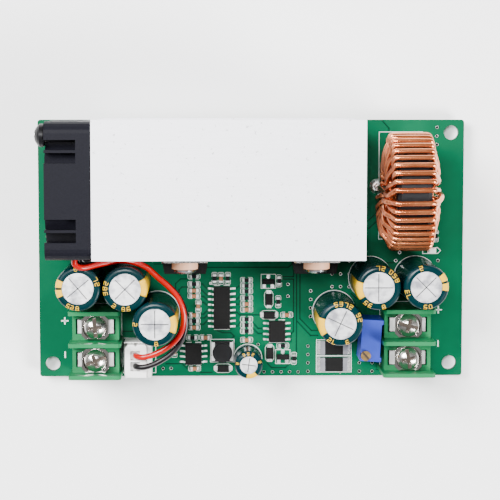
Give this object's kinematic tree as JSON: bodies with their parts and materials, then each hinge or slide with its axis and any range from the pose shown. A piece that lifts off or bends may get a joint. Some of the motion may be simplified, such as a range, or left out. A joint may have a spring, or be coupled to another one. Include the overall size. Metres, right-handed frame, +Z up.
{
  "type": "buck converter module",
  "caption": "Circuit board with a fan-cooled heat sink, two power transistors, a toroidal inductor, capacitors, a trimmer and screw terminals; steps a DC voltage down.",
  "frame": {"origin": "centre of the four mounting holes at the board's underside", "axes": "+X along the board from the input terminals to the output terminals, +Y towards the heat sink's fin tips, +Z up out of the component side"},
  "size_m": [0.099, 0.0604, 0.0346],
  "materials": {
    "board": "satin solder mask",
    "solder": "bright",
    "bare_aluminium": "matt, bead-blasted",
    "zinc_steel": "zinc-plated",
    "black_plastic": "satin",
    "sheet_steel": "rolled",
    "ferrite": "matt",
    "polished_steel": "polished",
    "bronze": "sintered",
    "copper": "enamelled",
    "drive_board": "satin solder mask",
    "black_steel": "black zinc",
    "red_insulation": "glossy",
    "black_insulation": "glossy",
    "white_nylon": "satin",
    "tinned": "tin-plated",
    "coated_iron_powder": "epoxy-coated",
    "moulding_compound": "fine matt",
    "tinned_copper": "tin-plated",
    "silicone_pad": "matt",
    "tan_nylon": "satin",
    "green_housing": "satin",
    "nickel_clamp": "nickel-plated",
    "nickel_screw": "nickel-plated",
    "teal_sleeve": "glossy shrink film",
    "capacitor_aluminium": "brushed",
    "bung_and_leads": "matt",
    "blue_plastic": "satin",
    "trimmer_brass": "satin",
    "shunt_coat": "satin",
    "resistor_coat": "satin",
    "capacitor_ceramic": "matt",
    "led_epoxy": "clear"
  },
  "bodies": {
    "module": {"circuit_board": "board", "solder_joints": "solder", "heat_sink": "bare_aluminium", "heat_sink_screws": "zinc_steel", "fan_frame": "black_plastic", "fan_bearing": "bronze", "fan_stator": "sheet_steel", "fan_coils": "copper", "fan_drive_board": "drive_board", "fan_screws": "black_steel", "fan_lead_red": "red_insulation", "fan_lead_black": "black_insulation", "fan_plug": "white_nylon", "fan_header": "white_nylon", "fan_header_pins": "tinned", "inductor_core": "coated_iron_powder", "inductor_winding": "copper", "left_transistor_case": "moulding_compound", "left_transistor_tab": "tinned_copper", "right_transistor_case": "moulding_compound", "right_transistor_tab": "tinned_copper", "insulating_pads": "silicone_pad", "insulating_bushings": "tan_nylon", "transistor_screws": "zinc_steel", "input_terminal_housing": "green_housing", "output_terminal_housing": "green_housing", "terminal_contacts": "tinned", "capacitor_sleeve_1": "teal_sleeve", "capacitor_sleeve_2": "teal_sleeve", "capacitor_sleeve_3": "teal_sleeve", "capacitor_sleeve_4": "teal_sleeve", "capacitor_sleeve_5": "teal_sleeve", "capacitor_sleeve_6": "teal_sleeve", "small_capacitor_sleeve": "teal_sleeve", "capacitor_cans": "capacitor_aluminium", "capacitor_leads": "bung_and_leads", "trimmer_body": "blue_plastic", "trimmer_pins": "tinned", "control_chips": "moulding_compound", "chip_pins": "tinned", "small_inductor": "ferrite", "shunt_resistors": "shunt_coat", "diodes": "moulding_compound", "small_transistors": "moulding_compound", "chip_resistors": "resistor_coat", "chip_capacitors": "capacitor_ceramic", "status_led": "led_epoxy"},
    "fan_rotor": {"fan_impeller": "black_plastic", "fan_rotor_cup": "sheet_steel", "fan_magnet": "ferrite", "fan_shaft": "polished_steel"},
    "trimmer_adjuster": {"trimmer_screw": "trimmer_brass"},
    "clamp_1": {"wire_clamp_1": "nickel_clamp"},
    "clamp_screw_1": {"terminal_screw_1": "nickel_screw"},
    "clamp_2": {"wire_clamp_2": "nickel_clamp"},
    "clamp_screw_2": {"terminal_screw_2": "nickel_screw"},
    "clamp_3": {"wire_clamp_3": "nickel_clamp"},
    "clamp_screw_3": {"terminal_screw_3": "nickel_screw"},
    "clamp_4": {"wire_clamp_4": "nickel_clamp"},
    "clamp_screw_4": {"terminal_screw_4": "nickel_screw"}
  },
  "joints": [
    {"name": "fan_spin", "type": "hinge", "parent": "module", "child": "fan_rotor", "pos_m": [-0.04, 0.015, 0.0174], "axis": [1, 0, 0], "continuous": true},
    {"name": "trimmer_turn", "type": "hinge", "parent": "module", "child": "trimmer_adjuster", "pos_m": [0.02603, -0.02383, 0.0115], "axis": [0, 0, 1], "continuous": true},
    {"name": "clamp_lift_1", "type": "slide", "parent": "module", "child": "clamp_1", "axis": [0, 0, 1], "range_m": [0, 0.0025]},
    {"name": "screw_turn_1", "type": "hinge", "parent": "clamp_1", "child": "clamp_screw_1", "pos_m": [-0.0358, -0.01709, 0.0115], "axis": [0, 0, 1], "range_deg": [0, 1800]},
    {"name": "clamp_lift_2", "type": "slide", "parent": "module", "child": "clamp_2", "axis": [0, 0, 1], "range_m": [0, 0.0025]},
    {"name": "screw_turn_2", "type": "hinge", "parent": "clamp_2", "child": "clamp_screw_2", "pos_m": [-0.0358, -0.02471, 0.0115], "axis": [0, 0, 1], "range_deg": [0, 1800]},
    {"name": "clamp_lift_3", "type": "slide", "parent": "module", "child": "clamp_3", "axis": [0, 0, 1], "range_m": [0, 0.0025]},
    {"name": "screw_turn_3", "type": "hinge", "parent": "clamp_3", "child": "clamp_screw_3", "pos_m": [0.0357, -0.01679, 0.0115], "axis": [0, 0, 1], "range_deg": [0, 1800]},
    {"name": "clamp_lift_4", "type": "slide", "parent": "module", "child": "clamp_4", "axis": [0, 0, 1], "range_m": [0, 0.0025]},
    {"name": "screw_turn_4", "type": "hinge", "parent": "clamp_4", "child": "clamp_screw_4", "pos_m": [0.0357, -0.02441, 0.0115], "axis": [0, 0, 1], "range_deg": [0, 1800]}
  ],
  "couplings": [
    {"joint": "screw_turn_1", "follows": "clamp_lift_1", "rad_per_m": 12566},
    {"joint": "screw_turn_2", "follows": "clamp_lift_2", "rad_per_m": 12566},
    {"joint": "screw_turn_3", "follows": "clamp_lift_3", "rad_per_m": 12566},
    {"joint": "screw_turn_4", "follows": "clamp_lift_4", "rad_per_m": 12566}
  ]
}
